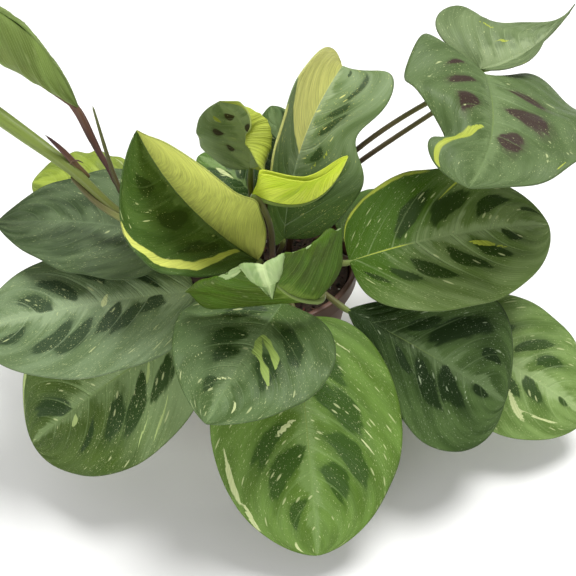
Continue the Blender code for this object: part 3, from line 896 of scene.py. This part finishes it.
# Its darker foot is painted shade, where the upturned leaf above shades its base, and its
# grey-green is partly a painted sheen.
grow(Leaf("leaf_front_round", (-1, -17), (9, -50, 99), (-22, -108, 89), 70, bow=4, roll=4,
          fold=(6, 6), curl=(-14, -14), round_tip=0.75,
          blotches=((0.2, -0.35, 9, 4), (0.42, -0.3, 8, 3.2), (0.54, -0.24, 7, 3),
                    (0.76, -0.28, 5, 2.4), (0.3, 0.4, 9, 4.5), (0.53, 0.32, 8, 5.5)),
          strokes=((((0.3, 0.02), (0.37, 0.04), (0.44, 0.1)), (0.5, 1.5, 2.2)),
                   (((0.43, 0.09), (0.47, 0.15), (0.5, 0.22)), (2.2, 1.2, 0.7)),
                   (((0.5, 0.22), (0.55, 0.32), (0.63, 0.5)), (0.7, 1.9, 0.4)),
                   (((0.31, 0.04), (0.35, 0.13), (0.4, 0.24)), (0.5, 1.7, 1.3)),
                   (((0.4, 0.24), (0.44, 0.34), (0.52, 0.44)), (1.3, 1.6, 0.3))),
          pale=((0.7, -0.1, 5, 0.7), (0.84, 0.4, 4, 0.8), (0.62, -0.55, 4, 0.6))),
     "leaf_silver", ((88, 110, 66), (66, 88, 42), (110, 132, 86), (36, 58, 18)),
     yellow=(166, 192, 96), dashes=0.82, specks=0.66, foot=((66, 90, 38), 0.35))
grow(Leaf("leaf_centre_upturned", (8, -11), (23, -60, 111), (-2, -75, 158), 89, bow=-6.5, sweep=-2,
          roll=-45, twist=5, fold=(32, -5), curl=(39, 8), round_base=0.84, round_tip=0.92,
          lobe=(12, -4), shoulder=(-11, -16), halves=(0.76, 1), wave=(1.5, 3),
          flop=(0.79, 0.12, 0.16, -140)),
     "leaf_olive", ((150, 172, 116), (124, 150, 90), (190, 208, 150), (110, 136, 76)),
     ((66, 98, 16), (60, 80, 14), (104, 128, 48), (48, 66, 14)))

# The left leaves lie out level to the left, one over another, and one above them stands up
# folded along its midrib, so that the yellow underside of its right half faces the viewer. That
# yellow is painted brighter than its own colour, a painted glow of the light shining through it.
# Its grey-green is partly a painted sheen.
grow(Leaf("leaf_left_long", (-12, -14), (-31, -36, 92), (-129, -53, 84), 68, bow=6, roll=20,
          fold=(4, -6), curl=(-10, -20),
          blotches=((0.59, -0.34, 10, 4.5), (0.68, -0.14, 10, 4.5), (0.46, -0.48, 9, 3.5),
                    (0.2, -0.3, 7, 3), (0.19, 0.14, 6, 4.5), (0.3, 0.27, 8, 3.4),
                    (0.38, 0.25, 8, 3.4), (0.53, 0.42, 9, 4), (0.62, 0.4, 9, 4),
                    (0.81, 0.36, 7, 4)), pale=((0.39, -0.03, 4.5, 1.3, 65),)),
     "leaf_silver", ((112, 132, 94), (92, 112, 72), (142, 160, 122), (48, 66, 40)), dashes=0.88,
     specks=0.6)
# The lighter, greyer green near its stalk is a painted sheen.
grow(Leaf("leaf_left_low", (-6, -19), (-33, -49, 80), (-108, -72, 28), 78, bow=8, roll=30,
          curl=(-12, -16), wave=(1.5, 3),
          blotches=((0.2, 0.35, 9, 5), (0.37, 0.4, 13, 4.2), (0.49, 0.38, 10, 4.5),
                    (0.66, 0.42, 8, 1.8), (0.3, -0.35, 9, 4), (0.5, -0.35, 9, 4),
                    (0.76, -0.18, 12, 5)),
          yellow=((0.7, 0.15, 3, 2), (0.25, 0.15, 6, 1), (0.3, 0.72, 7, 1.2), (0.4, 0.7, 6, 0.9)),
          bands=(("yellow", RIGHT, 0.93, 1.05, 0.75, 0.97),)),
     "leaf_green", ((70, 92, 28), (58, 80, 18), (116, 138, 86), (32, 56, 12)),
     yellow=(178, 198, 124), dashes=0.8, specks=0.68, foot=((130, 152, 102), 0.6))
# Its grey-green is partly a painted sheen.
grow(Leaf("leaf_left_back", (-17, -7), (-38, -14, 103), (-124, -3, 103), 70, bow=3, sweep=-3,
          round_tip=0.82, fold=(6, 12), curl=(-12, -8), blotches=()),
     "leaf_silver", ((84, 102, 66), (50, 68, 34), (102, 120, 84), (54, 74, 38)), dashes=0.95,
     band_share=0.4)
grow(Leaf("leaf_left_lime", (-17, 7), (-60, 25, 94), (-114, 33, 98), 40, bow=6, roll=15,
          wave=(1.4, 5), blotches=()),
     "leaf_lime", ((134, 152, 52), (106, 124, 44), (160, 178, 70), (96, 112, 40)))
# Its flap's near-white yellows are partly its own yellow and partly a painted glow of light
# shining through the thin blade.
grow(Leaf("leaf_folded", (-5, -9), (-3, -16, 92), (-52, -11, 162), 94, bow=-7.6, sweep=1, roll=14,
          twist=34, fold=(12, 105), curl=(5, -1), round_base=0.86, round_tip=0.54, lobe=(0, 3),
          shoulder=(-4, 10),
          blotches=((0.79, 0.33, 7, 4), (0.55, 0.3, 11, 4.4), (0.34, 0.46, 11, 5)),
          bands=(("yellow", RIGHT, -0.5, 1.5, -1, 2),),
          strokes=((((0.13, 0.15), (0.19, 0.4), (0.27, 0.66), (0.38, 0.84), (0.51, 0.86),
                     (0.68, 0.9), (0.84, 1)), (1.6, 3.2, 1.2)),),
          pale=((0.8, 0.83, 2.6, 0.7, -30), (0.72, 0.5, 2, 0.5), (0.71, 0.6, 2.4, 0.5))),
     "leaf_dark", ((72, 98, 42), (56, 82, 28), (112, 136, 84), (36, 58, 12)),
     ((230, 236, 132), (212, 222, 104), (248, 248, 196), (176, 196, 76)), yellow=(232, 238, 120),
     dashes=0.93)

# The right leaves: two level ones low down, a long one under them, and two on tall stalks
# that lean out over the rest. The high one's blotches are brown.
# Its grey-green away from the stalk is partly a painted sheen; the saturated green foot is the
# part left without it.
grow(Leaf("leaf_right_large", (14, 0), (39, -23, 98), (133, 2, 98), 74, bow=8, roll=-18,
          fold=(6, 6), curl=(-12, -12),
          blotches=((0.32, 0.38, 13, 5), (0.5, 0.38, 10, 6), (0.71, 0.4, 9, 5),
                    (0.92, 0.5, 6, 2.5), (0.1, -0.5, 5, 2.5), (0.21, -0.45, 6, 3),
                    (0.33, -0.42, 8, 4), (0.5, -0.36, 9, 4), (0.63, -0.3, 9, 3.5),
                    (0.77, -0.16, 6, 3)),
          yellow=((0.6, -0.2, 6, 1.6, -20), (0.68, -0.3, 7, 0.8, -25), (0.57, 0.68, 9, 1.1),
                  (0.14, 0.0, 15, 0.7, 0)), bands=(("yellow", LEFT, 0.94, 1.05, 0.02, 0.5),)),
     "leaf_green", ((110, 130, 76), (88, 110, 52), (134, 152, 104), (34, 54, 10)), dashes=0.8,
     foot=((54, 86, 0), 0.5, 0.007), gloss=0.1)
# The near-black green by its stalk is painted shade.
grow(Leaf("leaf_right_low", (14, -15), (38, -42, 86), (111, -62, 46), 78, bow=4, roll=-26,
          curl=(-14, -14), round_base=1.4, round_tip=0.75, halves=(1, 0.96), shoulder=(0, 6),
          blotches=((0.38, 0.35, 8, 4), (0.56, 0.42, 14, 6.5), (0.8, 0.42, 4.5, 4),
                    (0.36, -0.35, 7, 3.5), (0.52, -0.36, 11, 5), (0.65, -0.24, 10, 5),
                    (0.83, -0.08, 4, 4)), pale=((0.75, -0.2, 6, 0.6), (0.45, -0.2, 5, 0.6))),
     "leaf_dark", ((74, 96, 50), (50, 70, 30), (98, 118, 76), (22, 40, 10)), cream=(168, 184, 146),
     dashes=0.88, specks=0.76, foot=((24, 44, 6), 0.52), gloss=0.12)
grow(Leaf("leaf_right_outer", (22, -11), (84, -20, 51), (156, -52, 23), 68, bow=5, roll=-22,
          rise=0.75,
          blotches=((0.3, 0.35, 8, 3), (0.51, 0.4, 9, 3), (0.64, 0.35, 6, 3.5), (0.3, -0.3, 8, 3),
                    (0.52, -0.27, 5, 3), (0.62, -0.14, 8, 4), (0.82, -0.06, 4, 2)),
          pale=((0.57, -0.5, 7, 2.2), (0.74, -0.57, 10, 0.9, -6))),
     "leaf_lime", ((118, 144, 78), (88, 114, 50), (152, 174, 116), (46, 70, 24)), dashes=0.78,
     specks=0.68)
# Its grey-green is partly a painted sheen.
grow(Leaf("leaf_right_high", (11, 4), (103, 50, 149), (84, -39, 154), 90, bow=0, sweep=6.6,
          roll=4.5, twist=-28, fold=(9, 36), curl=(-19, -53), round_base=0.46, round_tip=0.68,
          wave=(4, 3), lobe=(23, 25), waist=(1, 0.64, 0.49, 0.15), arrive=(-22, 0, -12),
          blotches=((0.17, -0.52, 5, 1.6), (0.26, -0.41, 8.5, 2.4), (0.41, -0.34, 7.5, 4.8),
                    (0.21, 0.43, 8.5, 2.8), (0.38, 0.34, 11, 4.8), (0.6, 0.2, 8, 5.6)),
          yellow=((0.74, 0.93, 3, 0.7, 10),),
          strokes=((((0.53, -0.16), (0.6, -0.44), (0.68, -0.66), (0.78, -0.75), (0.9, -0.93)),
                    (0.6, 4, 1.4)),)),
     "leaf_silver", ((88, 108, 64), (72, 92, 48), (106, 126, 80), (54, 36, 32)), dashes=0.97)
grow(Leaf("leaf_right_top", (7, 12), (102, 59, 146), (151, 93, 161), 77, bow=-6, sweep=-3,
          twist=50, fold=(20, 50), curl=(-18, -11), round_base=0.9, round_tip=2.3, lobe=(22, 0),
          halves=(1, 0.42), rise=0.3, arrive=(14, 15, -20), blotches=(),
          yellow=((0.34, 0.6, 3.8, 0.8, -57), (0.32, 0.29, 4.5, 0.8, -5), (0.18, -0.97, 5, 1, 0))),
     "leaf_silver", ((108, 126, 82), (88, 106, 64), (142, 158, 114), (74, 96, 54)), dashes=0.98)

# The middle leaves are young ones that stand up out of the crown, half unrolled: one with a
# cream wedge beside its midrib, one with a margin turned over, and a yellow one like a scoop.
# Its grey-green is partly a painted sheen where the blade bends back; the dark green foot is the
# lower part without it.
grow(Leaf("leaf_upright_cream", (6, 1), (9, -4, 95), (36, 48, 155), 69, bow=10.7, sweep=2, roll=1,
          twist=15, fold=(83, -7), curl=(20, -24), round_tip=0.41, waist=(1, 0.62, 0.37, 0.13),
          shoulder=(0, 17),
          blotches=((0.95, -0.3, 2.4, 1), (0.86, -0.5, 6, 1.8), (0.73, -0.35, 5.4, 2),
                    (0.64, -0.38, 6.6, 2.5), (0.48, -0.27, 4.5, 2.4), (0.3, -0.45, 7, 4)),
          yellow=((0.49, -0.4, 3, 0.8, -30), (0.42, -0.25, 2.5, 0.7, -30)),
          wedge=(LEFT, 0.455, 3.7), bands=(("pale", LEFT, 0.93, 1.1, 0.3, 0.6),)),
     "leaf_dark", ((116, 136, 92), (90, 112, 62), (152, 168, 130), (42, 64, 22)),
     cream=(248, 246, 144), dashes=0.88, foot=((62, 90, 24), 0.62))
grow(Leaf("leaf_small_top", (-2, 6), (-6, 4, 130), (-19, 14, 159), 55, bow=-7, sweep=-2.5, roll=63,
          twist=-9, fold=(0, 30), curl=(-28, -10), lobe=(1, 11), halves=(1, 1.13),
          lip=(1, 0.56, 112, 0.05, 0.95),
          blotches=((0.73, 0.13, 2.8, 1.5), (0.55, 0.5, 3.2, 1.5), (0.49, -0.08, 3, 1.7),
                    (0.27, 0.38, 2.4, 1.2)), yellow=((0.76, 0.43, 3.6, 0.8, 50),),
          bands=(("yellow", RIGHT, 0.5, 1.5, -1, 2),)),
     "leaf_silver", ((140, 160, 114), (112, 134, 86), (158, 176, 130), (58, 48, 30)),
     ((164, 186, 72), (150, 172, 60), (186, 204, 104), (140, 160, 60)), dashes=0.97)
grow(Leaf("leaf_yellow_young", (2, -9), (-4, -27, 141), (36, -18, 154), 27, bow=-12.4, sweep=-2.6,
          roll=7, fold=(78, 79), curl=(9, 6), round_base=0.25, wave=(0, 1), lobe=(7, 6),
          shoulder=(0, -4), blotches=((0.25, -0.3, 8, 2),),
          via=((3.5, -16, 90), (4, -23, 106), (3.5, -27, 122), (0, -28, 136))),
     "leaf_yellow", ((210, 224, 70), (192, 210, 56), (222, 232, 120), (130, 160, 40)),
     ((216, 234, 64), (196, 222, 52), (228, 240, 96), (120, 152, 40)), dashes=0.99)
grow(Leaf("leaf_back_white", (-6, 11), (-3, 19, 98), (-32, 36, 112), 38, bow=4, halves=(0.8, 1),
          pale=((0.56, 0.18, 5, 1.6, 10),)),
     "leaf_green", GREEN)
grow(Leaf("leaf_back_small", (4, 13), (8, 28, 104), (3, 36, 141), 28, bow=3),
     "leaf_silver", GREY)

# The back leaves hang down behind the pot and under the right leaves, where they close the
# plant's round form. They are plain green ones like the rest.
for hidden in (Leaf("leaf_back_left_low", (-8, 17), (-18, 30, 88), (-54, 78, 50), 56),
               Leaf("leaf_back_right_low", (9, 18), (12, 34, 88), (30, 90, 48), 56),
               Leaf("leaf_right_under", (17, 5), (38, 8, 84), (102, 38, 58), 58)):
    grow(hidden, "leaf_green", GREEN)

# Three leaves are still rolled up tight, as they come out of the crown: a wide cone, a long
# tube and a thin spear. The cone and the tube have a brown sheath where the stalk ends.
grow(Leaf("rolled_leaf_upper", (-9, 5), (-82, 18, 153), (-146, 36, 187), 66, bow=2, fold=(10, 10),
          curl=(160, 160), round_base=0.9, round_tip=0.5, lobe=(0, 0), wave=(0.2, 3),
          via=((-13, 5, 98), (-28, 3, 113), (-50, 1, 116), (-64, 1, 120), (-70, 6, 129),
               (-76, 12, 138))),
     "leaf_lime", ((112, 136, 66), (94, 118, 52), (124, 146, 92), (46, 72, 18)),
     ((112, 134, 62), (90, 108, 44), (150, 168, 104), (96, 96, 56)),
     stem=((66, 40, 32), (74, 46, 36), (92, 66, 44)))


def rolled(name, foot, points, belly, tip, widest, paints):
    """A leaf rolled into a tube: the outer turn of the roll makes a step along it."""
    path = [Vector(p) * MM for p in points]
    path = [Vector((*foot, 0)) * MM + Vector((0, 0, SOIL_TOP + 2 * MM - STALK_DEPTH)),
            *smooth_line(path, 60)]

    def radius_at(share, turn):
        if share < widest:
            fill = clamp((share - widest) / 0.38 + 1)
            radius = 1.1 * STALK_RADIUS + (belly - 1.1 * STALK_RADIUS) * fill * fill * (
                3 - 2 * fill)
        else:
            radius = tip + (belly - tip) * math.cos(
                math.pi / 2 * (share - widest) / (1 - widest))
        step = (turn + 0.35 * share) % 1
        return radius * (0.94 + 0.1 * step * min(1, 3 * share))

    mesh = round_tube(name, path, radius_at, sides=28)
    return piece(name + "_roll", mesh, name, "leaf_lime",
                 stem_skin(name + " skin", *paints, 1.0))


rolled("rolled_leaf_lower", (-12, -3),
       [(-12, -3, 84), (-18, -9, 101), (-32, -15, 111), (-50, -17, 114), (-65, -14, 121),
        (-84, -7, 139), (-105, 4, 150), (-130, 17, 162), (-156, 30, 173)],
       3.7 * MM, 0.6 * MM, 0.84, ((70, 60, 32), (112, 130, 54), (140, 156, 76)))
rolled("spear_leaf", (-13, 1),
       [(-13, 1, 84), (-19, -1, 101), (-34, -4, 112), (-52, -6, 115), (-62, -4, 120),
        (-67, 0, 131), (-73, 7, 162)], 1.6 * MM, 0.4 * MM, 0.6,
       ((64, 44, 32), (72, 66, 36), (84, 92, 44)))


def scale(name, node, points, radius, paints):
    """A dry brown scale: the pointed end of the sheath that the roll came out of."""
    path = smooth_line([Vector(p) * MM for p in points], 24)

    def radius_at(share, turn):
        flat = 0.45 + 0.55 * abs(math.cos(2 * math.pi * turn))
        return radius * flat * math.sin(math.pi * min(0.08 + share, 1)) ** 0.6

    return piece(name, round_tube(name, path, radius_at), node, "leaf_lime",
                 stem_skin(name + " skin", *paints, 0.8))


DRY = ((92, 74, 46), (74, 46, 38), (52, 30, 30))
scale("rolled_leaf_lower_scale", "rolled_leaf_lower",
      [(-76, -7, 133.5), (-81, -6.5, 140), (-87, -5, 148), (-94, -3, 155)], 1.4 * MM, DRY)
scale("rolled_leaf_lower_hook", "rolled_leaf_lower",
      [(-84, -8, 138), (-83, -7, 142), (-80, -7, 143), (-77, -7, 141)], 0.6 * MM, DRY)
scale("rolled_leaf_lower_sheath", "rolled_leaf_lower",
      [(-84, -9, 136), (-74, -14, 126), (-64, -17, 119.5), (-54, -19, 114), (-44, -19, 111)],
      1.5 * MM, ((84, 80, 46), (128, 134, 76), (110, 104, 60)))
scale("rolled_leaf_upper_scale", "rolled_leaf_upper",
      [(-73, 9, 133), (-77, 13, 140), (-82, 18, 150), (-88, 21, 158), (-94, 24, 164)], 2.1 * MM,
      ((70, 44, 34), (98, 66, 52), (112, 110, 62)))

# The studio: a wide white floor under soft light, and the camera in front, looking down.
FLOOR_SIZE = 6.0
FLOOR_TONE = (248, 248, 246)
CAMERA_TARGET = Vector((0.011, 0, 0.058))
CAMERA_DISTANCE = 0.52
CAMERA_ELEVATION = math.radians(45)
CAMERA_LENS = 65.7

floor = bmesh.new()
bmesh.ops.create_grid(floor, x_segments=1, y_segments=1, size=FLOOR_SIZE / 2)
floor_piece = set_out("floor", mesh_of(floor, "floor"))
floor_finish = Finish("white floor")
floor_finish.wear(tone(*FLOOR_TONE), 0.9)
floor_piece.data.materials.append(floor_finish.look)


def soft_box(name, place, size, power):
    lamp = bpy.data.lights.new(name, "AREA")
    lamp.shape = "DISK"
    lamp.size = size
    lamp.energy = power
    box = set_out(name, lamp)
    box.location = place
    box.rotation_euler = (CAMERA_TARGET - Vector(place)).to_track_quat("-Z", "Y").to_euler()


soft_box("back_light", (-0.3, 1.0, 1.2), 1.2, 6)
soft_box("top_light", (0.35, 0.25, 1.4), 0.7, 19)
soft_box("front_light", (-0.5, -1.3, 0.35), 1.0, 13)

world = bpy.data.worlds.new("studio")
world.use_nodes = True
world.node_tree.nodes["Background"].inputs["Color"].default_value = (1, 1, 1, 1)
world.node_tree.nodes["Background"].inputs["Strength"].default_value = 0.4
bpy.context.scene.world = world
bpy.context.scene.view_settings.view_transform = "Standard"

camera = set_out("camera", bpy.data.cameras.new("camera"))
camera.data.lens = CAMERA_LENS
camera.data.sensor_width = 36
aim = Vector((0, -math.cos(CAMERA_ELEVATION), math.sin(CAMERA_ELEVATION)))
camera.location = CAMERA_TARGET + aim * CAMERA_DISTANCE
camera.rotation_euler = aim.to_track_quat("Z", "Y").to_euler()
camera.data.clip_start = 0.01
bpy.context.scene.camera = camera
